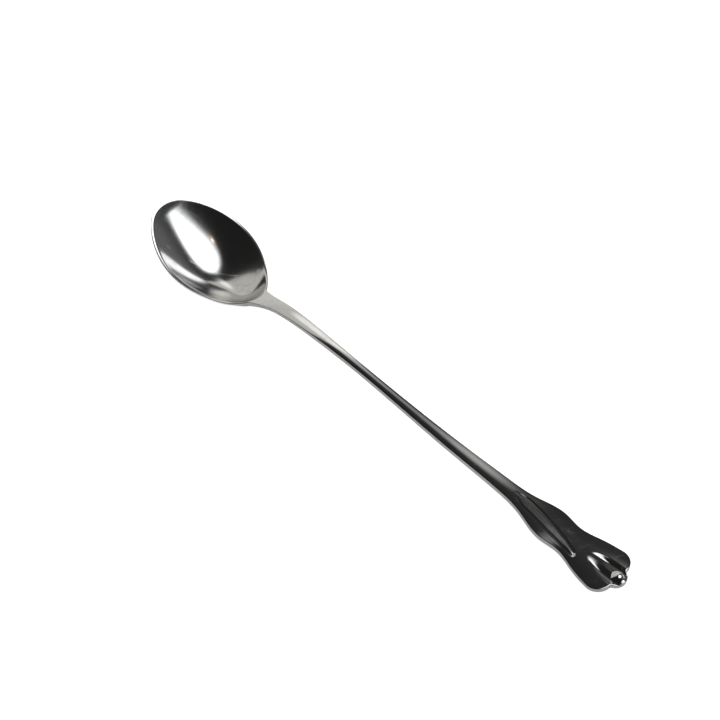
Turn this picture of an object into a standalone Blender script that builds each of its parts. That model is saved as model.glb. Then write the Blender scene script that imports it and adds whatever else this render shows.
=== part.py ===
"""A long-handled bar spoon, stamped and coined from one blank of stainless steel.

The spoon lies along X with its bowl at -X and its middle on y = 0, and rests on z = 0
on a small flat under the bowl and a flat under the end of the handle.  Its plan outline is
filled with a sheet of points.  One height function lifts that sheet to the upper face and
another lifts it to the underside, and a rounded edge joins the two faces all the way round.
Places along the spoon are measured from the tip of the bowl.
"""
import math

import bmesh
import bpy
import numpy as np

MM = 0.001

# Overall
OVERALL_LENGTH = 192.0 * MM

# Bowl
BOWL_LENGTH = 45.0 * MM
BOWL_WIDTH = 30.2 * MM
BOWL_DEPTH = 7.4 * MM            # from the rim down to the inside of the bowl
BOWL_WALL = 1.0 * MM
BOWL_CENTRE = 0.53               # share of the bowl's length at which it is deepest
BOWL_EGG = 0.045                 # more makes the bowl broader towards its tip
BOWL_TAPER = 0.19                # more makes both ends of the bowl more pointed
BOWL_SKEW = 0.2                  # more makes the bowl deeper towards the heel
RIM_WIDTH = 0.9 * MM             # flat land on top of the bowl's edge
TIP_RIM_WIDTH = 1.7 * MM         # the same at the tip
TIP_RIM_LENGTH = 4.0 * MM        # how far the broad land reaches from the tip
HEEL_RIM_WIDTH = 0.6 * MM        # the same at the heel
RIM_HEIGHT = 0.6 * MM            # the bowl's edge, seen from the side
TIP_LIFT = 7.2 * MM              # rim at the tip above the rim at mid bowl
HEEL_DROP = 4.0 * MM             # rim at the heel below the rim at mid bowl

# Handle, in plan
NECK_WIDTH = 7.4 * MM
NECK_LENGTH = 38.0 * MM          # from the bowl to the narrowest place
STEM_WIDTH = 3.0 * MM            # at the narrowest place
FLARE_WIDTH = 5.2 * MM           # where the stem starts to flare
FLARE_FROM_END = 46.0 * MM
SHOULDER_WIDTH = 11.5 * MM
SHOULDER_FROM_END = 27.0 * MM
WAIST_WIDTH = 10.4 * MM
WAIST_FROM_END = 20.5 * MM
END_WIDTH = 16.3 * MM
LOBE_RADIUS = 4.5 * MM           # rounded corners of the end
LOBE_REACH = 2.3 * MM            # the lobes stop this much short of the nose
NOSE_WIDTH = 6.6 * MM            # between the two notches

# Handle, seen from the side
ARCH_RISE = 4.2 * MM             # crest of the handle above the heel of the rim
ARCH_PLACE = 21.0 * MM           # from the bowl to the crest
FLARE_HEIGHT = 4.7 * MM          # upper face above the table
WAIST_HEIGHT = 2.8 * MM
NECK_THICKNESS = 1.4 * MM
STEM_THICKNESS = 1.8 * MM
END_THICKNESS = 2.1 * MM
STEM_CROWN = 0.2 * MM            # how much lower the side edges are than the middle
END_CROWN = 0.7 * MM
NECK_SPREAD = 4.0 * MM           # how far the neck's thicker metal runs out along the rim
NECK_ROLL = 0.3 * MM             # softness of the lip between bowl and neck
HEEL_ROLL = 1.0 * MM             # softness of the corner under the neck
RIM_ROLL = 0.2 * MM              # softness of the rim's inner edge
EDGE_RADIUS = 0.25 * MM
REST_DEPTH = 0.2 * MM            # taken off under the bowl and the end to make the flats

# Ornament on the upper face of the end
LEAF_START = 42.0 * MM           # from the end
LEAF_STOP = 15.8 * MM
LEAF_WIDTH = 3.2 * MM
LEAF_LEAN = 3.4 * MM             # how far the leaf's point bends to one side
LEAF_GROOVE = 0.15 * MM          # depth of the fine groove that draws the leaf
LEAF_GROOVE_WIDTH = 1.2 * MM
PETAL_START = 13.5 * MM
PETAL_DEPTH = 0.6 * MM
PETAL_VALLEY = 0.6               # place of the valleys, as a share of the half width
KEEL_SHARE = 0.8                 # how far the keel rises back towards the face
BEAD_RADIUS = 1.7 * MM
BEAD_RISE = 0.9 * MM
BEAD_FROM_END = 2.4 * MM

# Fineness of the mesh
RIM_STEPS = 30                   # along each side of the bowl
RING_SHARES = (0.11, 0.21, 0.30, 0.37, 0.44, 0.51, 0.58, 0.66, 0.74, 0.82, 0.89, 0.93, 0.96, 0.98, 1.0)
COLUMNS = 20                     # across the handle
STEM_ROWS = 24
FLARE_ROWS = 40
END_ROWS = 7
EDGE_TURNS = (90.0, 45.0, 0.0)   # degrees round each corner of the edge

# Places that follow from the sizes
BOWL_MIDDLE = BOWL_CENTRE * BOWL_LENGTH
LOBE_START = OVERALL_LENGTH - LOBE_REACH - LOBE_RADIUS
FLARE_START = OVERALL_LENGTH - FLARE_FROM_END
SHOULDER_PLACE = OVERALL_LENGTH - SHOULDER_FROM_END
WAIST_PLACE = OVERALL_LENGTH - WAIST_FROM_END


def between(first, second, share):
    return first + share * (second - first)


def ease(value, start, stop):
    """0 before start, 1 after stop, and a smooth step between them."""
    share = np.clip((value - start) / (stop - start), 0.0, 1.0)
    return share * share * (3.0 - 2.0 * share)


def soft_min(a, b, roll):
    """The lower of a and b, with the corner between them rounded."""
    return 0.5 * (a + b - np.sqrt((a - b) ** 2 + roll ** 2))


def spline(stations):
    """A natural cubic curve through (place, value) stations, as a function."""
    x = np.array([place for place, value in stations])
    y = np.array([value for place, value in stations])
    gap = np.diff(x)
    slope = np.diff(y) / gap
    last = len(x) - 1
    matrix = np.eye(last + 1)
    right = np.zeros(last + 1)
    for i in range(1, last):
        matrix[i, i - 1:i + 2] = gap[i - 1], 2.0 * (gap[i - 1] + gap[i]), gap[i]
        right[i] = 6.0 * (slope[i] - slope[i - 1])
    bend = np.linalg.solve(matrix, right)

    def curve(places):
        places = np.clip(places, x[0], x[last])
        i = np.clip(np.searchsorted(x, places) - 1, 0, last - 1)
        before = places - x[i]
        after = x[i + 1] - places
        cubic = (bend[i] * after ** 3 + bend[i + 1] * before ** 3) / (6.0 * gap[i])
        start = y[i] / gap[i] - bend[i] * gap[i] / 6.0
        stop = y[i + 1] / gap[i] - bend[i + 1] * gap[i] / 6.0
        return cubic + start * after + stop * before

    return curve


# ---------------------------------------------------------------- plan outline

def bowl_outline(turn):
    """Points of the bowl's outer edge: turn 0 is the tip, turn pi the heel."""
    along = 0.5 * BOWL_LENGTH * (1.0 - np.cos(turn))
    shape = 1.0 + BOWL_EGG * np.cos(turn) - BOWL_TAPER * np.cos(turn) ** 2
    return along, 0.5 * BOWL_WIDTH * np.sin(turn) * shape


HEEL_TURNS = np.linspace(math.pi, 0.6 * math.pi, 400)
NECK_TURN = float(np.interp(0.5 * NECK_WIDTH, bowl_outline(HEEL_TURNS)[1], HEEL_TURNS))
NECK_PLACE = float(bowl_outline(NECK_TURN)[0])

handle_width = spline([
    (NECK_PLACE, NECK_WIDTH),
    (BOWL_LENGTH + 0.1 * NECK_LENGTH, between(STEM_WIDTH, NECK_WIDTH, 0.57)),
    (BOWL_LENGTH + 0.3 * NECK_LENGTH, between(STEM_WIDTH, NECK_WIDTH, 0.34)),
    (BOWL_LENGTH + NECK_LENGTH, STEM_WIDTH),
    (between(BOWL_LENGTH + NECK_LENGTH, FLARE_START, 0.7), between(STEM_WIDTH, FLARE_WIDTH, 0.52)),
    (FLARE_START, FLARE_WIDTH),
    (between(FLARE_START, SHOULDER_PLACE, 0.5), between(FLARE_WIDTH, SHOULDER_WIDTH, 0.33)),
    (SHOULDER_PLACE, SHOULDER_WIDTH),
    (WAIST_PLACE, WAIST_WIDTH),
    (between(WAIST_PLACE, LOBE_START, 0.5), between(WAIST_WIDTH, END_WIDTH, 0.56)),
    (LOBE_START, END_WIDTH),
])


def end_contour(share):
    """A point of the end's outline: share -1 and 1 are the lobes' sides, 0 is the nose."""
    lobe_side = 0.5 * END_WIDTH - LOBE_RADIUS
    notch_turn = math.acos((0.5 * NOSE_WIDTH - lobe_side) / LOBE_RADIUS)
    notch_depth = LOBE_REACH + LOBE_RADIUS * (1.0 - math.sin(notch_turn))
    nose_radius = (0.25 * NOSE_WIDTH ** 2 + notch_depth ** 2) / (2.0 * notch_depth)
    nose_turn = math.asin(0.5 * NOSE_WIDTH / nose_radius)
    split = NOSE_WIDTH / END_WIDTH
    if abs(share) > split:
        turn = notch_turn * (1.0 - abs(share)) / (1.0 - split)
        along = LOBE_START + LOBE_RADIUS * math.sin(turn)
        side = lobe_side + LOBE_RADIUS * math.cos(turn)
    else:
        turn = nose_turn * abs(share) / split
        along = OVERALL_LENGTH - nose_radius * (1.0 - math.cos(turn))
        side = nose_radius * math.sin(turn)
    return along, math.copysign(side, share)


# ---------------------------------------------------------------- height functions

def bowl_reach():
    """The outer edge of the bowl in polar form about the bowl's middle."""
    along, side = bowl_outline(np.linspace(math.pi, 0.0, 721))
    return np.arctan2(side, along - BOWL_MIDDLE), np.hypot(side, along - BOWL_MIDDLE)


REACH_ANGLES, REACHES = bowl_reach()


def rim_width(along):
    """The width of the rim's flat land: broader at the tip, slimmer at the heel."""
    at_tip = 1.0 - ease(along, 0.0, TIP_RIM_LENGTH)
    at_heel = ease(along, 0.6 * BOWL_LENGTH, 0.9 * BOWL_LENGTH)
    return RIM_WIDTH + (TIP_RIM_WIDTH - RIM_WIDTH) * at_tip + (HEEL_RIM_WIDTH - RIM_WIDTH) * at_heel


def hollow(along, side, inset):
    """About 1 at the middle of the bowl, 0 at its edge less the inset, negative outside."""
    angle = np.arctan2(np.abs(side), along - BOWL_MIDDLE)
    reach = np.interp(angle, REACH_ANGLES, REACHES) - inset
    share = np.minimum(np.hypot(side, along - BOWL_MIDDLE) / reach, 3.0)
    skew = 1.0 + BOWL_SKEW * np.clip((along - BOWL_MIDDLE) / BOWL_MIDDLE, -1.0, 1.0)
    return skew * (1.0 - share ** 2)


def neck_share(along, side):
    """0 round the bowl, 1 on the handle, and a smooth change where the neck leaves the rim."""
    beside = ease(np.abs(side), 0.5 * NECK_WIDTH, 0.5 * NECK_WIDTH + NECK_SPREAD)
    past = ease(along, NECK_PLACE, NECK_PLACE + NECK_SPREAD)
    return ease(along, 0.8 * BOWL_LENGTH, BOWL_LENGTH) * np.maximum(1.0 - beside, past)


def thickness(along, side):
    """The metal at the middle of the handle, and the height of the edge at the bowl."""
    at_neck = between(RIM_HEIGHT, NECK_THICKNESS, neck_share(along, side))
    to_stem = (STEM_THICKNESS - NECK_THICKNESS) * ease(along, BOWL_LENGTH, BOWL_LENGTH + NECK_LENGTH)
    to_end = (END_THICKNESS - STEM_THICKNESS) * ease(along, FLARE_START, WAIST_PLACE)
    return at_neck + to_stem + to_end


def lid_at(rim_height):
    """The side view of the rim and of the handle's upper face, for a rim height at mid bowl."""
    heel = rim_height - HEEL_DROP
    return spline([
        (0.0, rim_height + TIP_LIFT),
        (0.25 * BOWL_LENGTH, rim_height + 0.47 * TIP_LIFT),
        (0.5 * BOWL_LENGTH, rim_height),
        (0.78 * BOWL_LENGTH, between(rim_height, heel, 0.72)),
        (0.91 * BOWL_LENGTH, heel),
        (BOWL_LENGTH + 0.29 * ARCH_PLACE, heel + 0.62 * ARCH_RISE),
        (BOWL_LENGTH + ARCH_PLACE, heel + ARCH_RISE),
        (between(BOWL_LENGTH + ARCH_PLACE, FLARE_START, 0.75), between(heel + ARCH_RISE, FLARE_HEIGHT, 0.84)),
        (FLARE_START, FLARE_HEIGHT),
        (WAIST_PLACE, WAIST_HEIGHT),
        (LOBE_START, END_THICKNESS - 0.5 * REST_DEPTH),
        (OVERALL_LENGTH, END_THICKNESS - REST_DEPTH),
    ])


def underside(lid, along, side):
    """The height of the underside before its flats are taken off."""
    metal = thickness(along, side)
    handle = lid(along) - metal
    bowl = handle - (BOWL_DEPTH + BOWL_WALL - metal) * hollow(along, side, 0.0)
    return soft_min(bowl, handle, between(RIM_ROLL, HEEL_ROLL, neck_share(along, side)))


def settled_lid():
    """The side view for which the bowl touches the table."""
    places = np.linspace(0.2 * BOWL_LENGTH, 0.9 * BOWL_LENGTH, 200)
    rim_height = BOWL_DEPTH + BOWL_WALL
    for _ in range(6):
        lowest = underside(lid_at(rim_height), places, 0.0 * places).min()
        rim_height -= float(lowest) + REST_DEPTH
    return lid_at(rim_height)


LID = settled_lid()


def leaf(along, side):
    """The fine groove that draws a leaf, bending to one side, along the handle's end."""
    share = np.clip((along - OVERALL_LENGTH + LEAF_START) / (LEAF_START - LEAF_STOP), 0.0, 1.0)
    half = 0.5 * LEAF_WIDTH * ease(share, -0.1, 0.25) * np.sqrt(1.0 - share ** 3)
    from_line = np.abs(half - np.abs(side + LEAF_LEAN * share ** 1.7))
    depth = LEAF_GROOVE * ease(from_line, 0.5 * LEAF_GROOVE_WIDTH, 0.0)
    return depth * ease(share, 0.0, 0.2) * (share < 1.0)


def petal(along, side):
    """The hollow between the lobes, with a keel along its middle."""
    start = OVERALL_LENGTH - PETAL_START
    share = np.clip((along - start) / (PETAL_START - LOBE_REACH), 0.0, 1.0)
    half = 0.5 * NOSE_WIDTH * np.sqrt(1.0 - (1.0 - share) ** 2) + EDGE_RADIUS
    across = np.abs(side) / half
    outer = np.clip((1.0 - across) / (1.0 - PETAL_VALLEY), 0.0, 1.0)
    inner = 1.0 - KEEL_SHARE * np.clip(1.0 - across / PETAL_VALLEY, 0.0, 1.0)
    return PETAL_DEPTH * ease(share, 0.0, 0.6) * np.minimum(outer, inner)


def with_bead(face, lid, along, side):
    """The face with the round bead of the nose standing on it."""
    centre = OVERALL_LENGTH - BEAD_FROM_END
    share = ((along - centre) ** 2 + side ** 2) / BEAD_RADIUS ** 2
    dome = lid - PETAL_DEPTH + (PETAL_DEPTH + BEAD_RISE) * np.sqrt(np.maximum(1.0 - share, 0.0))
    return np.where(share < 1.0, np.maximum(face, dome), face)


def top_height(along, side):
    lid = LID(along)
    bowl = lid - BOWL_DEPTH * hollow(along, side, rim_width(along))
    face = soft_min(bowl, lid, between(RIM_ROLL, NECK_ROLL, neck_share(along, side)))
    share = np.minimum(np.abs(side) / (0.5 * handle_width(along)), 1.0)
    crown = between(STEM_CROWN, END_CROWN, ease(along, FLARE_START, LOBE_START))
    crown = crown * ease(along, NECK_PLACE, NECK_PLACE + 0.2 * NECK_LENGTH)
    face = face - crown * share ** 2 - leaf(along, side) - petal(along, side)
    return with_bead(face, lid, along, side)


def bottom_height(along, side):
    return np.maximum(underside(LID, along, side), 0.0)


# ---------------------------------------------------------------- mesh

def outline():
    """The closed plan outline, anticlockwise from the neck, and where its stretches start."""
    turns = np.linspace(NECK_TURN, 0.0, RIM_STEPS + 1)
    rim = [bowl_outline(turn) for turn in turns]
    rim += [(along, -side) for along, side in rim[-2::-1]]
    stem = np.linspace(NECK_PLACE, FLARE_START, STEM_ROWS + 1)[1:]
    flare = np.linspace(FLARE_START, LOBE_START, FLARE_ROWS + 1)[1:]
    places = np.concatenate([stem, flare])
    side_line = [(place, -0.5 * float(handle_width(place))) for place in places]
    end = [end_contour(2.0 * i / COLUMNS - 1.0) for i in range(1, COLUMNS)]
    other_side = [(along, -side) for along, side in reversed(side_line)]
    points = np.array(rim + side_line + end + other_side, dtype=float)
    return points, len(rim), len(side_line)


def outward(points):
    """Unit normals of a closed plan outline."""
    along = np.roll(points, -1, axis=0) - np.roll(points, 1, axis=0)
    normal = np.stack([along[:, 1], -along[:, 0]], axis=1)
    return normal / np.linalg.norm(normal, axis=1)[:, None]


def end_patch(start_row, end_row, lower, upper):
    """Rows between the last straight row and the end's contour, from their four sides."""
    shares = np.linspace(0.0, 1.0, COLUMNS + 1)[:, None]
    rows = []
    for i in range(1, len(lower) - 1):
        u = i / (len(lower) - 1.0)
        across = between(lower[i], upper[i], shares)
        lengthwise = between(start_row, end_row, u)
        corners = between(between(start_row[0], end_row[0], u), between(start_row[-1], end_row[-1], u), shares)
        rows.append(across + lengthwise - corners)
    return rows


def plan_sheet():
    """The plan's points, its quads and triangles, its border, and the border's true outline."""
    border, rim_count, side_count = outline()
    inner = border - EDGE_RADIUS * outward(border)
    count = len(border)
    rim = inner[:rim_count]
    lower = inner[rim_count - 1:rim_count + side_count]
    upper = np.concatenate([inner[:1], inner[:count - side_count - 1:-1]])
    end_row = inner[rim_count + side_count - 1:count - side_count + 1]
    shares = np.linspace(0.0, 1.0, COLUMNS + 1)[:, None]

    straight = side_count + 1 - END_ROWS
    rows = [between(lower[i], upper[i], shares) for i in range(straight)]
    rows += end_patch(rows[-1], end_row, lower[straight - 1:], upper[straight - 1:])
    rows.append(end_row)

    points = []
    faces = []
    strip = []
    for row in rows:
        strip.append(list(range(len(points), len(points) + COLUMNS + 1)))
        points.extend(row)
    disc_rim = list(range(len(points), len(points) + rim_count - 2))
    points.extend(rim[1:-1])
    neck_row = strip[0]
    edge_ring = [neck_row[-1]] + disc_rim + neck_row[:-1]
    ring_points = np.array([points[i] for i in edge_ring])
    middle = np.array([BOWL_MIDDLE, 0.0])

    rings = []
    for share in RING_SHARES[:-1]:
        rings.append(list(range(len(points), len(points) + len(edge_ring))))
        points.extend(between(middle, ring_points, share))
    rings.append(edge_ring)
    points.append(middle)
    centre = len(points) - 1
    size = len(edge_ring)
    for i in range(size):
        j = (i + 1) % size
        faces.append((centre, rings[0][i], rings[0][j]))
        for ring, wider in zip(rings, rings[1:]):
            faces.append((ring[i], wider[i], wider[j], ring[j]))
    for row, further in zip(strip, strip[1:]):
        for i in range(COLUMNS):
            faces.append((row[i], further[i], further[i + 1], row[i + 1]))

    edge = [neck_row[-1]] + disc_rim + [row[0] for row in strip]
    edge += strip[-1][1:] + [row[-1] for row in strip[-2:0:-1]]
    return np.array(points), faces, edge, border


def build_spoon():
    sheet, faces, edge, border = plan_sheet()
    top = top_height(sheet[:, 0], sheet[:, 1])
    bottom = bottom_height(sheet[:, 0], sheet[:, 1])
    edge = np.array(edge)
    inset = sheet[edge] - border

    loops = []
    for turn in EDGE_TURNS[1:]:
        angle = math.radians(turn)
        plan = border + inset * (1.0 - math.cos(angle))
        loops.append(np.column_stack([plan, top[edge] - EDGE_RADIUS * (1.0 - math.sin(angle))]))
    for turn in EDGE_TURNS[:0:-1]:
        angle = math.radians(turn)
        plan = border + inset * (1.0 - math.cos(angle))
        loops.append(np.column_stack([plan, bottom[edge] + EDGE_RADIUS * (1.0 - math.sin(angle))]))

    points = np.concatenate([np.column_stack([sheet, top]), np.column_stack([sheet, bottom])] + loops)
    points[:, 0] -= 0.5 * OVERALL_LENGTH
    sheet_size = len(sheet)
    ladder = [edge]
    ladder += [2 * sheet_size + i * len(edge) + np.arange(len(edge)) for i in range(len(loops))]
    ladder.append(edge + sheet_size)

    model = bmesh.new()
    verts = [model.verts.new(point) for point in points]
    for face in faces:
        model.faces.new([verts[i] for i in face])
        model.faces.new([verts[i + sheet_size] for i in reversed(face)])
    for upper, lower in zip(ladder, ladder[1:]):
        for i in range(len(edge)):
            j = (i + 1) % len(edge)
            model.faces.new([verts[k] for k in (upper[i], lower[i], lower[j], upper[j])])
    bmesh.ops.triangulate(model, faces=model.faces[:])
    mesh = bpy.data.meshes.new("spoon")
    model.to_mesh(mesh)
    model.free()
    mesh.shade_smooth()
    mesh.set_sharp_from_angle(angle=math.radians(40.0))
    spoon = bpy.data.objects.new("spoon", mesh)
    bpy.context.scene.collection.objects.link(spoon)
    return spoon


def steel():
    material = bpy.data.materials.new("polished_steel")
    material.use_nodes = True
    shader = material.node_tree.nodes["Principled BSDF"]
    shader.inputs["Base Color"].default_value = (0.62, 0.61, 0.60, 1.0)
    shader.inputs["Metallic"].default_value = 1.0
    shader.inputs["Roughness"].default_value = 0.12
    return material


for old in list(bpy.data.objects):
    bpy.data.objects.remove(old, do_unlink=True)
build_spoon().data.materials.append(steel())
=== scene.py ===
"""The looks of a long-handled bar spoon in polished stainless steel.

One piece of metal: a bowl pressed tip-up, a slim arched stem and a coined end.  The fine
skin is worked out here from the same shape as the solid spoon, in metres, with x measured
from the tip of the bowl until the skin is laid in the solid's place.
"""
import math

import bpy
import numpy as np
from mathutils import Matrix, Vector


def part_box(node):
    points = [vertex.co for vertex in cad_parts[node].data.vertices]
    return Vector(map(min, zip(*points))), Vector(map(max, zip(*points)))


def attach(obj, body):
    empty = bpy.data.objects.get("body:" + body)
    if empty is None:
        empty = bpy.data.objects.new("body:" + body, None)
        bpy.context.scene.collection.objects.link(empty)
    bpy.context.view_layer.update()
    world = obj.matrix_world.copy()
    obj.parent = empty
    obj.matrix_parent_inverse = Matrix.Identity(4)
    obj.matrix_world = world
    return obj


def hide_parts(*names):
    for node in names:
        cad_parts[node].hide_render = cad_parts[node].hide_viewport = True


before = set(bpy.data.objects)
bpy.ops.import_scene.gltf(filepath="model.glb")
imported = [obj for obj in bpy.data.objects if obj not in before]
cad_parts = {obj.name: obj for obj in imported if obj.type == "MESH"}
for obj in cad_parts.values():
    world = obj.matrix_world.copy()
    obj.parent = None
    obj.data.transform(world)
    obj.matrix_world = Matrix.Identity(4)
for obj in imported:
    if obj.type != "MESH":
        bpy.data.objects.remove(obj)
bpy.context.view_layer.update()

MM = 0.001
LOW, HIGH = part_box("spoon")
LENGTH = HIGH.x - LOW.x
BOWL_WIDTH = HIGH.y - LOW.y

# Bowl
BOWL_LENGTH = 45.0 * MM
BOWL_DEPTH = 7.4 * MM
BOWL_WALL = 1.0 * MM
BOWL_MIDDLE = 0.53 * BOWL_LENGTH
BOWL_EGG = 0.045
BOWL_TAPER = 0.19
BOWL_SKEW = 0.2
RIM_WIDTH = 0.9 * MM
TIP_RIM_WIDTH = 1.7 * MM
TIP_RIM_LENGTH = 4.0 * MM
HEEL_RIM_WIDTH = 0.6 * MM
RIM_HEIGHT = 0.6 * MM
RIM_ROLL = 0.2 * MM
TIP_LIFT = 7.2 * MM
HEEL_DROP = 4.0 * MM

# Handle in plan
NECK_WIDTH = 7.4 * MM
NECK_LENGTH = 38.0 * MM
NECK_SPREAD = 4.0 * MM
STEM_WIDTH = 3.0 * MM
FLARE_WIDTH = 5.2 * MM
SHOULDER_WIDTH = 11.5 * MM
WAIST_WIDTH = 10.4 * MM
END_WIDTH = 16.3 * MM
LOBE_RADIUS = 4.5 * MM
LOBE_REACH = 2.3 * MM
NOSE_WIDTH = 6.6 * MM
FLARE_START = LENGTH - 46.0 * MM
SHOULDER_PLACE = LENGTH - 27.0 * MM
WAIST_PLACE = LENGTH - 20.5 * MM
LOBE_START = LENGTH - LOBE_REACH - LOBE_RADIUS

# Handle from the side
ARCH_RISE = 4.2 * MM
ARCH_PLACE = 21.0 * MM
FLARE_HEIGHT = 4.7 * MM
WAIST_HEIGHT = 2.8 * MM
NECK_THICKNESS = 1.4 * MM
STEM_THICKNESS = 1.8 * MM
END_THICKNESS = 2.1 * MM
STEM_CROWN = 0.2 * MM
END_CROWN = 0.7 * MM
NECK_ROLL = 0.3 * MM
HEEL_ROLL = 1.0 * MM
EDGE_RADIUS = 0.25 * MM
REST_DEPTH = 0.2 * MM

# Coined ornament
LEAF_START = LENGTH - 42.0 * MM
LEAF_STOP = LENGTH - 15.8 * MM
LEAF_WIDTH = 3.2 * MM
LEAF_LEAN = 3.4 * MM
LEAF_GROOVE = 0.15 * MM
LEAF_GROOVE_WIDTH = 1.2 * MM
PETAL_START = LENGTH - 13.5 * MM
PETAL_DEPTH = 0.6 * MM
PETAL_VALLEY = 0.6
KEEL_SHARE = 0.8
BEAD_RADIUS = 1.7 * MM
BEAD_RISE = 0.9 * MM
BEAD_PLACE = LENGTH - 2.4 * MM

# Fineness of the skin
RIM_STEPS = 150
RINGS = 64
COLUMNS = 56
STEM_ROWS = 170
FLARE_ROWS = 190
END_ROWS = 34
EDGE_STEPS = 5


# ---------------------------------------------------------------- the spoon's shape

def between(first, second, share):
    return first + share * (second - first)


def ease(value, start, stop):
    """0 before start, 1 after stop, and a smooth step between them."""
    share = np.clip((value - start) / (stop - start), 0.0, 1.0)
    return share * share * (3.0 - 2.0 * share)


def soft_min(a, b, roll):
    """The lower of a and b, with the corner between them rounded."""
    return 0.5 * (a + b - np.sqrt((a - b) ** 2 + roll ** 2))


def spline(stations):
    """A natural cubic curve through (place, value) stations, as a function."""
    x = np.array([place for place, value in stations])
    y = np.array([value for place, value in stations])
    gap = np.diff(x)
    slope = np.diff(y) / gap
    last = len(x) - 1
    matrix = np.eye(last + 1)
    right = np.zeros(last + 1)
    for i in range(1, last):
        matrix[i, i - 1:i + 2] = gap[i - 1], 2.0 * (gap[i - 1] + gap[i]), gap[i]
        right[i] = 6.0 * (slope[i] - slope[i - 1])
    bend = np.linalg.solve(matrix, right)

    def curve(places):
        places = np.clip(places, x[0], x[last])
        i = np.clip(np.searchsorted(x, places) - 1, 0, last - 1)
        before = places - x[i]
        after = x[i + 1] - places
        cubic = (bend[i] * after ** 3 + bend[i + 1] * before ** 3) / (6.0 * gap[i])
        start = y[i] / gap[i] - bend[i] * gap[i] / 6.0
        stop = y[i + 1] / gap[i] - bend[i + 1] * gap[i] / 6.0
        return cubic + start * after + stop * before

    return curve


def bowl_outline(turn):
    """Points of the bowl's outer edge: turn 0 is the tip, turn pi the heel."""
    along = 0.5 * BOWL_LENGTH * (1.0 - np.cos(turn))
    shape = 1.0 + BOWL_EGG * np.cos(turn) - BOWL_TAPER * np.cos(turn) ** 2
    return along, 0.5 * BOWL_WIDTH * np.sin(turn) * shape


HEEL_TURNS = np.linspace(math.pi, 0.6 * math.pi, 400)
NECK_TURN = float(np.interp(0.5 * NECK_WIDTH, bowl_outline(HEEL_TURNS)[1], HEEL_TURNS))
NECK_PLACE = float(bowl_outline(NECK_TURN)[0])

handle_width = spline([
    (NECK_PLACE, NECK_WIDTH),
    (BOWL_LENGTH + 0.1 * NECK_LENGTH, between(STEM_WIDTH, NECK_WIDTH, 0.57)),
    (BOWL_LENGTH + 0.3 * NECK_LENGTH, between(STEM_WIDTH, NECK_WIDTH, 0.34)),
    (BOWL_LENGTH + NECK_LENGTH, STEM_WIDTH),
    (between(BOWL_LENGTH + NECK_LENGTH, FLARE_START, 0.7), between(STEM_WIDTH, FLARE_WIDTH, 0.52)),
    (FLARE_START, FLARE_WIDTH),
    (between(FLARE_START, SHOULDER_PLACE, 0.5), between(FLARE_WIDTH, SHOULDER_WIDTH, 0.33)),
    (SHOULDER_PLACE, SHOULDER_WIDTH),
    (WAIST_PLACE, WAIST_WIDTH),
    (between(WAIST_PLACE, LOBE_START, 0.5), between(WAIST_WIDTH, END_WIDTH, 0.56)),
    (LOBE_START, END_WIDTH),
])


def end_contour(share):
    """A point of the end's outline: share -1 and 1 are the lobes' sides, 0 is the nose."""
    lobe_side = 0.5 * END_WIDTH - LOBE_RADIUS
    notch_turn = math.acos((0.5 * NOSE_WIDTH - lobe_side) / LOBE_RADIUS)
    notch_depth = LOBE_REACH + LOBE_RADIUS * (1.0 - math.sin(notch_turn))
    nose_radius = (0.25 * NOSE_WIDTH ** 2 + notch_depth ** 2) / (2.0 * notch_depth)
    nose_turn = math.asin(0.5 * NOSE_WIDTH / nose_radius)
    split = NOSE_WIDTH / END_WIDTH
    if abs(share) > split:
        turn = notch_turn * (1.0 - abs(share)) / (1.0 - split)
        along = LOBE_START + LOBE_RADIUS * math.sin(turn)
        side = lobe_side + LOBE_RADIUS * math.cos(turn)
    else:
        turn = nose_turn * abs(share) / split
        along = LENGTH - nose_radius * (1.0 - math.cos(turn))
        side = nose_radius * math.sin(turn)
    return along, math.copysign(side, share)


def bowl_reach():
    """The outer edge of the bowl in polar form about the bowl's middle."""
    along, side = bowl_outline(np.linspace(math.pi, 0.0, 2881))
    return np.arctan2(side, along - BOWL_MIDDLE), np.hypot(side, along - BOWL_MIDDLE)


REACH_ANGLES, REACHES = bowl_reach()


def rim_width(along):
    """The width of the rim's flat face: broader at the tip, slimmer at the heel."""
    at_tip = 1.0 - ease(along, 0.0, TIP_RIM_LENGTH)
    at_heel = ease(along, 0.6 * BOWL_LENGTH, 0.9 * BOWL_LENGTH)
    return RIM_WIDTH + (TIP_RIM_WIDTH - RIM_WIDTH) * at_tip + (HEEL_RIM_WIDTH - RIM_WIDTH) * at_heel


def hollow(along, side, inset):
    """About 1 at the middle of the bowl, 0 at its edge less the inset, negative outside."""
    angle = np.arctan2(np.abs(side), along - BOWL_MIDDLE)
    reach = np.interp(angle, REACH_ANGLES, REACHES) - inset
    share = np.minimum(np.hypot(side, along - BOWL_MIDDLE) / reach, 3.0)
    skew = 1.0 + BOWL_SKEW * np.clip((along - BOWL_MIDDLE) / BOWL_MIDDLE, -1.0, 1.0)
    return skew * (1.0 - share ** 2)


def neck_share(along, side):
    """0 round the bowl, 1 on the handle, and a smooth change where the neck leaves the rim."""
    beside = ease(np.abs(side), 0.5 * NECK_WIDTH, 0.5 * NECK_WIDTH + NECK_SPREAD)
    past = ease(along, NECK_PLACE, NECK_PLACE + NECK_SPREAD)
    return ease(along, 0.8 * BOWL_LENGTH, BOWL_LENGTH) * np.maximum(1.0 - beside, past)


def thickness(along, side):
    """The metal at the middle of the handle, and the height of the edge at the bowl."""
    at_neck = between(RIM_HEIGHT, NECK_THICKNESS, neck_share(along, side))
    to_stem = (STEM_THICKNESS - NECK_THICKNESS) * ease(along, BOWL_LENGTH, BOWL_LENGTH + NECK_LENGTH)
    to_end = (END_THICKNESS - STEM_THICKNESS) * ease(along, FLARE_START, WAIST_PLACE)
    return at_neck + to_stem + to_end


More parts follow.
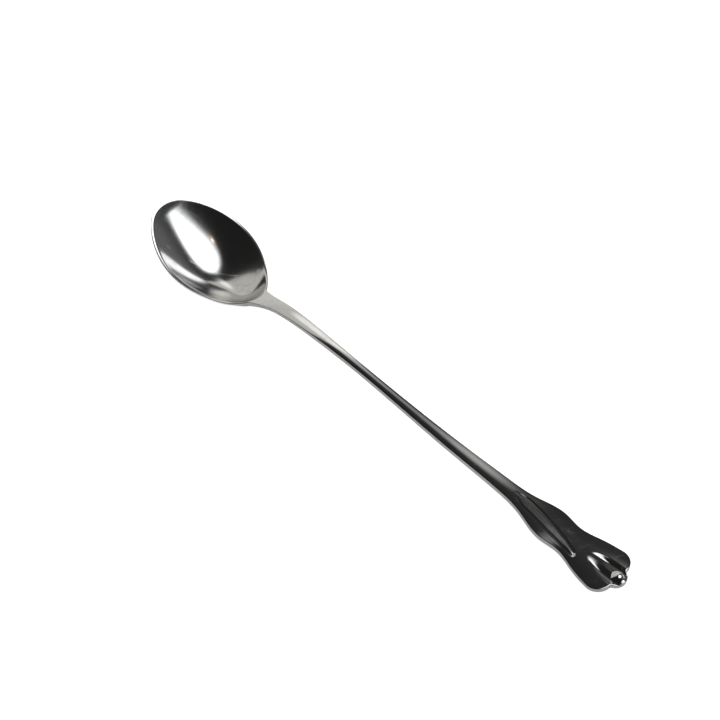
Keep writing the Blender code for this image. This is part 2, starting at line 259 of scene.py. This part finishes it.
def lid_at(rim_height):
    """The side view of the rim and of the handle's upper face, for a rim height at mid bowl."""
    heel = rim_height - HEEL_DROP
    return spline([
        (0.0, rim_height + TIP_LIFT),
        (0.25 * BOWL_LENGTH, rim_height + 0.47 * TIP_LIFT),
        (0.5 * BOWL_LENGTH, rim_height),
        (0.78 * BOWL_LENGTH, between(rim_height, heel, 0.72)),
        (0.91 * BOWL_LENGTH, heel),
        (BOWL_LENGTH + 0.29 * ARCH_PLACE, heel + 0.62 * ARCH_RISE),
        (BOWL_LENGTH + ARCH_PLACE, heel + ARCH_RISE),
        (between(BOWL_LENGTH + ARCH_PLACE, FLARE_START, 0.75),
         between(heel + ARCH_RISE, FLARE_HEIGHT, 0.84)),
        (FLARE_START, FLARE_HEIGHT),
        (WAIST_PLACE, WAIST_HEIGHT),
        (LOBE_START, END_THICKNESS - 0.5 * REST_DEPTH),
        (LENGTH, END_THICKNESS - REST_DEPTH),
    ])


def underside(lid, along, side):
    """The height of the underside before its flats are taken off."""
    metal = thickness(along, side)
    handle = lid(along) - metal
    bowl = handle - (BOWL_DEPTH + BOWL_WALL - metal) * hollow(along, side, 0.0)
    return soft_min(bowl, handle, between(RIM_ROLL, HEEL_ROLL, neck_share(along, side)))


def settled_lid():
    """The side view for which the bowl touches the table."""
    places = np.linspace(0.2 * BOWL_LENGTH, 0.9 * BOWL_LENGTH, 200)
    rim_height = BOWL_DEPTH + BOWL_WALL
    for _ in range(6):
        lowest = underside(lid_at(rim_height), places, 0.0 * places).min()
        rim_height -= float(lowest) + REST_DEPTH
    return lid_at(rim_height)


LID = settled_lid()


def leaf(along, side):
    """The fine groove that draws a leaf, bending to one side, along the handle's end."""
    share = np.clip((along - LEAF_START) / (LEAF_STOP - LEAF_START), 0.0, 1.0)
    half = 0.5 * LEAF_WIDTH * ease(share, -0.1, 0.25) * np.sqrt(1.0 - share ** 3)
    from_line = np.abs(half - np.abs(side + LEAF_LEAN * share ** 1.7))
    depth = LEAF_GROOVE * ease(from_line, 0.5 * LEAF_GROOVE_WIDTH, 0.0)
    return depth * ease(share, 0.0, 0.2) * (share < 1.0)


def petal(along, side):
    """The hollow between the lobes, with a keel along its middle."""
    share = np.clip((along - PETAL_START) / (LENGTH - LOBE_REACH - PETAL_START), 0.0, 1.0)
    half = 0.5 * NOSE_WIDTH * np.sqrt(1.0 - (1.0 - share) ** 2) + EDGE_RADIUS
    across = np.abs(side) / half
    outer = np.clip((1.0 - across) / (1.0 - PETAL_VALLEY), 0.0, 1.0)
    inner = 1.0 - KEEL_SHARE * np.clip(1.0 - across / PETAL_VALLEY, 0.0, 1.0)
    return PETAL_DEPTH * ease(share, 0.0, 0.6) * np.minimum(outer, inner)


def with_bead(face, lid, along, side):
    """The face with the round bead of the nose standing on it."""
    share = ((along - BEAD_PLACE) ** 2 + side ** 2) / BEAD_RADIUS ** 2
    dome = lid - PETAL_DEPTH + (PETAL_DEPTH + BEAD_RISE) * np.sqrt(np.maximum(1.0 - share, 0.0))
    return np.where(share < 1.0, np.maximum(face, dome), face)


def top_height(along, side):
    lid = LID(along)
    bowl = lid - BOWL_DEPTH * hollow(along, side, rim_width(along))
    face = soft_min(bowl, lid, between(RIM_ROLL, NECK_ROLL, neck_share(along, side)))
    share = np.minimum(np.abs(side) / (0.5 * handle_width(along)), 1.0)
    crown = between(STEM_CROWN, END_CROWN, ease(along, FLARE_START, LOBE_START))
    crown = crown * ease(along, NECK_PLACE, NECK_PLACE + 0.2 * NECK_LENGTH)
    face = face - crown * share ** 2 - leaf(along, side) - petal(along, side)
    return with_bead(face, lid, along, side)


def bottom_height(along, side):
    return np.maximum(underside(LID, along, side), 0.0)


# ---------------------------------------------------------------- the fine skin

def outline():
    """The closed plan outline, anticlockwise from the neck, and where its stretches start."""
    turns = np.linspace(NECK_TURN, 0.0, RIM_STEPS + 1)
    rim = [bowl_outline(turn) for turn in turns]
    rim += [(along, -side) for along, side in rim[-2::-1]]
    stem = np.linspace(NECK_PLACE, FLARE_START, STEM_ROWS + 1)[1:]
    flare = np.linspace(FLARE_START, LOBE_START, FLARE_ROWS + 1)[1:]
    places = np.concatenate([stem, flare])
    side_line = [(place, -0.5 * float(handle_width(place))) for place in places]
    end = [end_contour(2.0 * i / COLUMNS - 1.0) for i in range(1, COLUMNS)]
    other_side = [(along, -side) for along, side in reversed(side_line)]
    points = np.array(rim + side_line + end + other_side, dtype=float)
    return points, len(rim), len(side_line)


def outward(points):
    """Unit normals of a closed plan outline."""
    along = np.roll(points, -1, axis=0) - np.roll(points, 1, axis=0)
    normal = np.stack([along[:, 1], -along[:, 0]], axis=1)
    return normal / np.linalg.norm(normal, axis=1)[:, None]


def end_patch(start_row, end_row, lower, upper):
    """Rows between the last straight row and the end's contour, from their four sides."""
    shares = np.linspace(0.0, 1.0, COLUMNS + 1)[:, None]
    rows = []
    for i in range(1, len(lower) - 1):
        u = i / (len(lower) - 1.0)
        across = between(lower[i], upper[i], shares)
        lengthwise = between(start_row, end_row, u)
        first = between(start_row[0], end_row[0], u)
        last = between(start_row[-1], end_row[-1], u)
        rows.append(across + lengthwise - between(first, last, shares))
    return rows


def ring_shares():
    """Rings of the bowl, from near the middle to the rim, closer together at the rim."""
    steps = np.arange(1, RINGS + 1) / RINGS
    return np.sin(0.5 * math.pi * steps) ** 0.9


def plan_sheet():
    """The plan's points, its faces, its border, and the border's true outline."""
    border, rim_count, side_count = outline()
    inner = border - EDGE_RADIUS * outward(border)
    count = len(border)
    rim = inner[:rim_count]
    lower = inner[rim_count - 1:rim_count + side_count]
    upper = np.concatenate([inner[:1], inner[:count - side_count - 1:-1]])
    end_row = inner[rim_count + side_count - 1:count - side_count + 1]
    shares = np.linspace(0.0, 1.0, COLUMNS + 1)[:, None]

    straight = side_count + 1 - END_ROWS
    rows = [between(lower[i], upper[i], shares) for i in range(straight)]
    rows += end_patch(rows[-1], end_row, lower[straight - 1:], upper[straight - 1:])
    rows.append(end_row)

    points = []
    faces = []
    strip = []
    for row in rows:
        strip.append(list(range(len(points), len(points) + COLUMNS + 1)))
        points.extend(row)
    disc_rim = list(range(len(points), len(points) + rim_count - 2))
    points.extend(rim[1:-1])
    neck_row = strip[0]
    edge_ring = [neck_row[-1]] + disc_rim + neck_row[:-1]
    ring_points = np.array([points[i] for i in edge_ring])
    middle = np.array([BOWL_MIDDLE, 0.0])

    rings = []
    for share in ring_shares()[:-1]:
        rings.append(list(range(len(points), len(points) + len(edge_ring))))
        points.extend(between(middle, ring_points, share))
    rings.append(edge_ring)
    points.append(middle)
    centre = len(points) - 1
    size = len(edge_ring)
    for i in range(size):
        j = (i + 1) % size
        faces.append((centre, rings[0][i], rings[0][j]))
        for ring, wider in zip(rings, rings[1:]):
            faces.append((ring[i], wider[i], wider[j], ring[j]))
    for row, further in zip(strip, strip[1:]):
        for i in range(COLUMNS):
            faces.append((row[i], further[i], further[i + 1], row[i + 1]))

    edge = [neck_row[-1]] + disc_rim + [row[0] for row in strip]
    edge += strip[-1][1:] + [row[-1] for row in strip[-2:0:-1]]
    return np.array(points), faces, np.array(edge), border


def edge_loops(border, inset, top, bottom):
    """The rounded edge from the upper face down to the underside, as loops of points."""
    loops = []
    turns = np.linspace(0.5 * math.pi, 0.0, EDGE_STEPS + 1)[1:]
    for turn in turns:
        plan = border + inset * (1.0 - math.cos(turn))
        loops.append(np.column_stack([plan, top - EDGE_RADIUS * (1.0 - math.sin(turn))]))
    for turn in turns[::-1]:
        plan = border + inset * (1.0 - math.cos(turn))
        loops.append(np.column_stack([plan, bottom + EDGE_RADIUS * (1.0 - math.sin(turn))]))
    return loops


def polished_spoon():
    """The whole skin as one closed mesh, laid where the solid spoon is."""
    sheet, faces, edge, border = plan_sheet()
    top = top_height(sheet[:, 0], sheet[:, 1])
    bottom = bottom_height(sheet[:, 0], sheet[:, 1])
    loops = edge_loops(border, sheet[edge] - border, top[edge], bottom[edge])
    points = np.concatenate([np.column_stack([sheet, top]), np.column_stack([sheet, bottom])] + loops)
    points[:, 0] += LOW.x
    size = len(sheet)
    ladder = [edge]
    ladder += [2 * size + i * len(edge) + np.arange(len(edge)) for i in range(len(loops))]
    ladder.append(edge + size)

    under = [tuple(i + size for i in reversed(face)) for face in faces]
    side = []
    for upper, lower in zip(ladder, ladder[1:]):
        quads = np.column_stack([upper, lower, np.roll(lower, -1), np.roll(upper, -1)])
        side.extend(map(tuple, quads.tolist()))
    mesh = bpy.data.meshes.new("polished_spoon")
    mesh.from_pydata(points.tolist(), [], faces + under + side)
    mesh.update()
    mesh.shade_smooth()
    spoon = bpy.data.objects.new("polished_spoon", mesh)
    bpy.context.scene.collection.objects.link(spoon)
    return spoon


# ---------------------------------------------------------------- steel

STEEL = (0.70, 0.69, 0.68, 1.0)
DULLED_STEEL = (0.60, 0.59, 0.585, 1.0)
RUBBED_STEEL = (0.80, 0.80, 0.80, 1.0)
BOWL_ROUGHNESS = 0.14
HANDLE_ROUGHNESS = 0.08
SMUDGE_ROUGHNESS = 0.05
LEAF_ROUGHNESS = 0.05
SCRATCH_ROUGHNESS = 0.06
WEAR_ROUGHNESS = 0.08
GRAIN_DEPTH = 0.0006 * MM
SCRATCH_DEPTH = 0.4              # as a share of the grain's depth

# Sizes of the marks, as cells of noise to the metre, and how far lines are drawn out
BUFFING_LINES = 2600.0
BUFFING_STRETCH = (0.06, 1.0, 1.0)
ORANGE_PEEL = 700.0
PITS = 1500.0
BROAD_SMUDGES = 120.0
FINE_SMUDGES = 900.0
SCRATCH_STRETCH = (0.05, 1.0, 0.3)
SCRATCH_PATCHES = 90.0
SCRATCH_RUNS = ((0.35, 420.0), (-0.9, 360.0), (1.9, 300.0))   # (direction in radians, cells to the metre)
SCRATCH_LEVEL = 0.66             # the noise value whose contours are the scratches
SCRATCH_FINENESS = 0.006


def math_node(tree, operation, first, second=None, clamp=False):
    """The output of one math node; each input is a socket or a number."""
    node = tree.nodes.new("ShaderNodeMath")
    node.operation = operation
    node.use_clamp = clamp
    for socket, value in zip(node.inputs, (first, second)):
        if isinstance(value, bpy.types.NodeSocket):
            tree.links.new(value, socket)
        elif value is not None:
            socket.default_value = value
    return node.outputs["Value"]


def remap(tree, value, from_min, from_max, to_min=0.0, to_max=1.0):
    """The output of a smooth map range node; each limit is a socket or a number."""
    node = tree.nodes.new("ShaderNodeMapRange")
    node.interpolation_type = "SMOOTHSTEP"
    tree.links.new(value, node.inputs["Value"])
    limits = {"From Min": from_min, "From Max": from_max, "To Min": to_min, "To Max": to_max}
    for label, limit in limits.items():
        if isinstance(limit, bpy.types.NodeSocket):
            tree.links.new(limit, node.inputs[label])
        else:
            node.inputs[label].default_value = limit
    return node.outputs["Result"]


def noise(tree, place, scale, detail, stretch=(1.0, 1.0, 1.0)):
    """The output of a noise texture over the metal, drawn out along any axis with a small stretch."""
    mapping = tree.nodes.new("ShaderNodeMapping")
    mapping.inputs["Scale"].default_value = stretch
    tree.links.new(place, mapping.inputs["Vector"])
    texture = tree.nodes.new("ShaderNodeTexNoise")
    texture.inputs["Scale"].default_value = scale
    texture.inputs["Detail"].default_value = detail
    tree.links.new(mapping.outputs["Vector"], texture.inputs["Vector"])
    return texture.outputs["Fac"]


def split_position(tree, place):
    """The X, Y and Z outputs of a position."""
    split = tree.nodes.new("ShaderNodeSeparateXYZ")
    tree.links.new(place, split.inputs["Vector"])
    return split.outputs


def surface_effect(name, output):
    """A new node group that turns a position on the metal into one value over the surface."""
    group = bpy.data.node_groups.new(name, "ShaderNodeTree")
    group.interface.new_socket("Position", in_out="INPUT", socket_type="NodeSocketVector")
    group.interface.new_socket(output, in_out="OUTPUT", socket_type="NodeSocketFloat")
    place = group.nodes.new("NodeGroupInput").outputs["Position"]
    result = group.nodes.new("NodeGroupOutput").inputs[output]
    return group, place, result


def buffed_grain():
    """Fine lines left by the buffing wheel, orange peel and pits, as a height."""
    group, place, result = surface_effect("buffed_grain", "Height")
    lines = noise(group, place, BUFFING_LINES, 3.0, BUFFING_STRETCH)
    peel = noise(group, place, ORANGE_PEEL, 2.0)
    pits = remap(group, noise(group, place, PITS, 1.0), 0.22, 0.30)
    height = math_node(group, "ADD", math_node(group, "MULTIPLY", lines, 0.45),
                       math_node(group, "MULTIPLY", peel, 0.45))
    height = math_node(group, "ADD", height, math_node(group, "MULTIPLY", pits, 0.1))
    group.links.new(height, result)
    return group


def hairline_scratches():
    """Sparse hairline scratches that run in three directions, 1 on a scratch."""
    group, place, result = surface_effect("hairline_scratches", "Scratch")
    found = None
    for turn, scale in SCRATCH_RUNS:
        rotate = group.nodes.new("ShaderNodeVectorRotate")
        rotate.rotation_type = "Z_AXIS"
        rotate.inputs["Angle"].default_value = turn
        group.links.new(place, rotate.inputs["Vector"])
        turned = rotate.outputs["Vector"]
        lines = noise(group, turned, scale, 0.0, SCRATCH_STRETCH)
        offset = math_node(group, "ABSOLUTE", math_node(group, "SUBTRACT", lines, SCRATCH_LEVEL))
        thin = remap(group, offset, 0.0, SCRATCH_FINENESS, 1.0, 0.0)
        patchy = remap(group, noise(group, turned, SCRATCH_PATCHES, 1.0), 0.5, 0.62)
        scratch = math_node(group, "MULTIPLY", thin, patchy)
        found = scratch if found is None else math_node(group, "MAXIMUM", found, scratch)
    group.links.new(found, result)
    return group


def handling_smudges():
    """Broad soft patches where the shine is dulled by handling, 0 to 1."""
    group, place, result = surface_effect("handling_smudges", "Smudge")
    broad = remap(group, noise(group, place, BROAD_SMUDGES, 4.0), 0.42, 0.68)
    fine = remap(group, noise(group, place, FINE_SMUDGES, 3.0), 0.35, 0.7)
    group.links.new(math_node(group, "MULTIPLY", broad, fine), result)
    return group


def leaf_panel():
    """1 inside the leaf on the handle's end: the formula of leaf() as nodes."""
    group, place, result = surface_effect("leaf_panel", "Panel")
    at = split_position(group, place)
    share = math_node(group, "SUBTRACT", at["X"], LOW.x + LEAF_START)
    share = math_node(group, "DIVIDE", share, LEAF_STOP - LEAF_START, clamp=True)
    lean = math_node(group, "MULTIPLY", math_node(group, "POWER", share, 1.7), LEAF_LEAN)
    from_middle = math_node(group, "ABSOLUTE", math_node(group, "ADD", at["Y"], lean))
    taper = math_node(group, "SUBTRACT", 1.0, math_node(group, "POWER", share, 3.0), clamp=True)
    half = math_node(group, "MULTIPLY", math_node(group, "SQRT", taper), 0.5 * LEAF_WIDTH)
    half = math_node(group, "MULTIPLY", half, remap(group, share, -0.1, 0.25))
    inside = remap(group, math_node(group, "SUBTRACT", half, from_middle), -0.1 * MM, 0.5 * MM)
    begun = remap(group, share, 0.0, 0.25)
    group.links.new(math_node(group, "MULTIPLY", inside, begun), result)
    return group


def polished_steel():
    """Stainless steel: mirror-bright handle, a slightly softer bowl and a satin leaf."""
    material = bpy.data.materials.new("polished_steel")
    material.use_nodes = True
    tree = material.node_tree
    shader = tree.nodes["Principled BSDF"]
    shader.inputs["Metallic"].default_value = 1.0
    surface = tree.nodes.new("ShaderNodeNewGeometry")

    def use(group):
        node = tree.nodes.new("ShaderNodeGroup")
        node.node_tree = group
        tree.links.new(surface.outputs["Position"], node.inputs["Position"])
        return node.outputs[0]

    def blend(share, first, second):
        node = tree.nodes.new("ShaderNodeMix")
        node.data_type = "RGBA"
        for label, colour in (("A", first), ("B", second)):
            if isinstance(colour, bpy.types.NodeSocket):
                tree.links.new(colour, node.inputs[label])
            else:
                node.inputs[label].default_value = colour
        tree.links.new(share, node.inputs["Factor"])
        return node.outputs["Result"]

    grain = use(buffed_grain())
    scratch = use(hairline_scratches())
    smudge = use(handling_smudges())
    panel = use(leaf_panel())
    wear = remap(tree, surface.outputs["Pointiness"], 0.53, 0.6)

    at = split_position(tree, surface.outputs["Position"])
    rough = remap(tree, at["X"], LOW.x + 0.88 * BOWL_LENGTH, LOW.x + 1.05 * BOWL_LENGTH,
                  BOWL_ROUGHNESS, HANDLE_ROUGHNESS)
    marks = ((smudge, SMUDGE_ROUGHNESS), (panel, LEAF_ROUGHNESS),
             (scratch, SCRATCH_ROUGHNESS), (wear, WEAR_ROUGHNESS))
    for mark, extra in marks:
        rough = math_node(tree, "ADD", rough, math_node(tree, "MULTIPLY", mark, extra))
    tree.links.new(rough, shader.inputs["Roughness"])
    tree.links.new(blend(wear, blend(smudge, STEEL, DULLED_STEEL), RUBBED_STEEL), shader.inputs["Base Color"])

    height = math_node(tree, "SUBTRACT", grain, math_node(tree, "MULTIPLY", scratch, SCRATCH_DEPTH))
    bump = tree.nodes.new("ShaderNodeBump")
    bump.inputs["Distance"].default_value = GRAIN_DEPTH
    tree.links.new(height, bump.inputs["Height"])
    tree.links.new(bump.outputs["Normal"], shader.inputs["Normal"])
    return material


# ---------------------------------------------------------------- studio

CAMERA_AZIMUTH = math.radians(44.98)
CAMERA_ELEVATION = math.radians(48.39)
CAMERA_DISTANCE = 620.6 * MM
CAMERA_AIM = Vector((-15.0 * MM, 7.61 * MM, -0.4 * MM))
SENSOR = 36.0
LENS = 102.09

FLOOR_HALF = 12.0
FLOOR_GLOW = 0.9
FLOOR_GLOW_IN_METAL = 0.1

# Lights: places are from the middle of the bowl, in metres; azimuth and elevation in degrees
LIGHT_DISTANCE = 4.0
SOFTBOX_PLACE = Vector((0.38, 0.48, 1.0)) * LIGHT_DISTANCE
SOFTBOX_SIZE = (1.2 * LIGHT_DISTANCE, 1.6 * LIGHT_DISTANCE)
SOFTBOX_RADIANCE = 2.4
SOFTBOX_COLOUR = (0.95, 0.98, 1.0)
REFLECTOR_PLACE = Vector((-2.0, 2.0, 1.2))
REFLECTOR_WIDTH = 6.2
REFLECTOR_RADIANCE = 0.58
REFLECTOR_COLOUR = (1.0, 0.99, 0.94)
STRIP_WAY = (219.0, 46.0)
STRIP_SIZE = (2.0, 2.2)
STRIP_RADIANCE = 0.55
LAMP_WAY = (59.5, 65.3)
LAMP_WIDTH = 0.06
LAMP_RADIANCE = 45.0
LAMP_COLOUR = (1.0, 0.76, 0.58)

AIR_IN_FRONT = 0.015
AIR_BEHIND_LOW = 0.14
AIR_BEHIND_HIGH = 0.03


def camera():
    """The camera, high over the handle's end and looking down along the spoon."""
    back = toward(math.degrees(CAMERA_AZIMUTH), math.degrees(CAMERA_ELEVATION))
    right = Vector((math.cos(CAMERA_AZIMUTH), math.sin(CAMERA_AZIMUTH), 0.0))
    data = bpy.data.cameras.new("camera")
    data.sensor_width = SENSOR
    data.lens = LENS
    data.clip_start = 0.01
    view = bpy.data.objects.new("camera", data)
    view.matrix_world = Matrix((right, back.cross(right), back)).transposed().to_4x4()
    view.location = CAMERA_AIM + back * CAMERA_DISTANCE
    bpy.context.scene.collection.objects.link(view)
    bpy.context.scene.camera = view


def floor():
    """A plain pale floor that glows for the camera, so that shadows stay faint."""
    mesh = bpy.data.meshes.new("floor")
    corners = [(-FLOOR_HALF, -FLOOR_HALF, 0.0), (FLOOR_HALF, -FLOOR_HALF, 0.0),
               (FLOOR_HALF, FLOOR_HALF, 0.0), (-FLOOR_HALF, FLOOR_HALF, 0.0)]
    mesh.from_pydata(corners, [], [(0, 1, 2, 3)])
    plane = bpy.data.objects.new("floor", mesh)
    bpy.context.scene.collection.objects.link(plane)
    material = bpy.data.materials.new("pale_floor")
    material.use_nodes = True
    tree = material.node_tree
    shader = tree.nodes["Principled BSDF"]
    shader.inputs["Base Color"].default_value = (0.9, 0.9, 0.9, 1.0)
    shader.inputs["Roughness"].default_value = 0.9
    shader.inputs["Specular IOR Level"].default_value = 0.0
    shader.inputs["Emission Strength"].default_value = 1.0
    paths = tree.nodes.new("ShaderNodeLightPath")
    glow = remap(tree, paths.outputs["Is Camera Ray"], 0.0, 1.0, FLOOR_GLOW_IN_METAL, FLOOR_GLOW)
    tree.links.new(glow, shader.inputs["Emission Color"])
    mesh.materials.append(material)


def toward(azimuth, elevation):
    """The unit direction at an azimuth, 0 being -Y and 90 being +X, and a height above the floor."""
    a = math.radians(azimuth)
    e = math.radians(elevation)
    return Vector((math.sin(a) * math.cos(e), -math.cos(a) * math.cos(e), math.sin(e)))


def panel_light(name, place, facing, size, radiance, colour=(1.0, 1.0, 1.0), shape="RECTANGLE"):
    """An evenly lit panel, unseen by the camera, that shines back along the way it is facing."""
    width, height = size
    data = bpy.data.lights.new(name, "AREA")
    data.shape = shape
    data.size = width
    data.size_y = height
    area = width * height * (1.0 if shape == "RECTANGLE" else 0.25 * math.pi)
    data.energy = radiance * math.pi * area
    data.color = colour
    light = bpy.data.objects.new(name, data)
    light.rotation_euler = facing.to_track_quat("Z", "Y").to_euler()
    light.location = Vector((LOW.x + BOWL_MIDDLE, 0.0, 0.0)) + place
    light.visible_camera = False
    bpy.context.scene.collection.objects.link(light)
    return light


def soften_edge(light, start, stop):
    """Fade a panel towards an oval edge: full up to the start, nothing from the stop.

    Both are shares of the panel's half width.
    """
    light.data.use_nodes = True
    tree = light.data.node_tree
    surface = tree.nodes.new("ShaderNodeNewGeometry")
    offset = tree.nodes.new("ShaderNodeVectorMath")
    offset.operation = "SUBTRACT"
    offset.inputs[1].default_value = (0.5, 0.5, 0.0)
    distance = tree.nodes.new("ShaderNodeVectorMath")
    distance.operation = "LENGTH"
    tree.links.new(surface.outputs["Parametric"], offset.inputs[0])
    tree.links.new(offset.outputs["Vector"], distance.inputs[0])
    fade = remap(tree, distance.outputs["Value"], 0.5 * start, 0.5 * stop, 1.0, 0.0)
    tree.links.new(fade, tree.nodes["Emission"].inputs["Strength"])


def studio_lights():
    """An oval softbox overhead, a dim round reflector at one side, a soft strip and a small lamp."""
    softbox = panel_light("oval_softbox", SOFTBOX_PLACE, Vector((0.0, 0.0, 1.0)), SOFTBOX_SIZE,
                          SOFTBOX_RADIANCE, SOFTBOX_COLOUR)
    soften_edge(softbox, 0.6, 0.96)
    panel_light("round_reflector", REFLECTOR_PLACE, Vector((-1.0, 0.0, 0.0)),
                (REFLECTOR_WIDTH, REFLECTOR_WIDTH), REFLECTOR_RADIANCE, REFLECTOR_COLOUR, "ELLIPSE")
    way = toward(*STRIP_WAY)
    strip = panel_light("soft_strip", LIGHT_DISTANCE * way, way, STRIP_SIZE, STRIP_RADIANCE)
    soften_edge(strip, 0.3, 1.0)
    way = toward(*LAMP_WAY)
    panel_light("warm_lamp", LIGHT_DISTANCE * way, way, (LAMP_WIDTH, LAMP_WIDTH), LAMP_RADIANCE,
                LAMP_COLOUR, "ELLIPSE")


def studio_air():
    """White to the camera; to the metal, near black in front, and grey low down behind."""
    world = bpy.data.worlds.new("studio")
    bpy.context.scene.world = world
    world.use_nodes = True
    tree = world.node_tree
    background = tree.nodes["Background"]
    background.inputs["Color"].default_value = (1.0, 1.0, 1.0, 1.0)
    ways = split_position(tree, tree.nodes.new("ShaderNodeTexCoord").outputs["Generated"])
    behind = remap(tree, ways["Z"], 0.3, 0.6, AIR_BEHIND_LOW, AIR_BEHIND_HIGH)
    around = remap(tree, ways["Y"], -0.1, 0.6, AIR_IN_FRONT, behind)
    paths = tree.nodes.new("ShaderNodeLightPath")
    strength = remap(tree, paths.outputs["Is Camera Ray"], 0.0, 1.0, around, 1.0)
    tree.links.new(strength, background.inputs["Strength"])


spoon = polished_spoon()
spoon.data.materials.append(polished_steel())
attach(spoon, "root")
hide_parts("spoon")
camera()
floor()
studio_air()
studio_lights()
bpy.context.scene.view_settings.view_transform = "Standard"
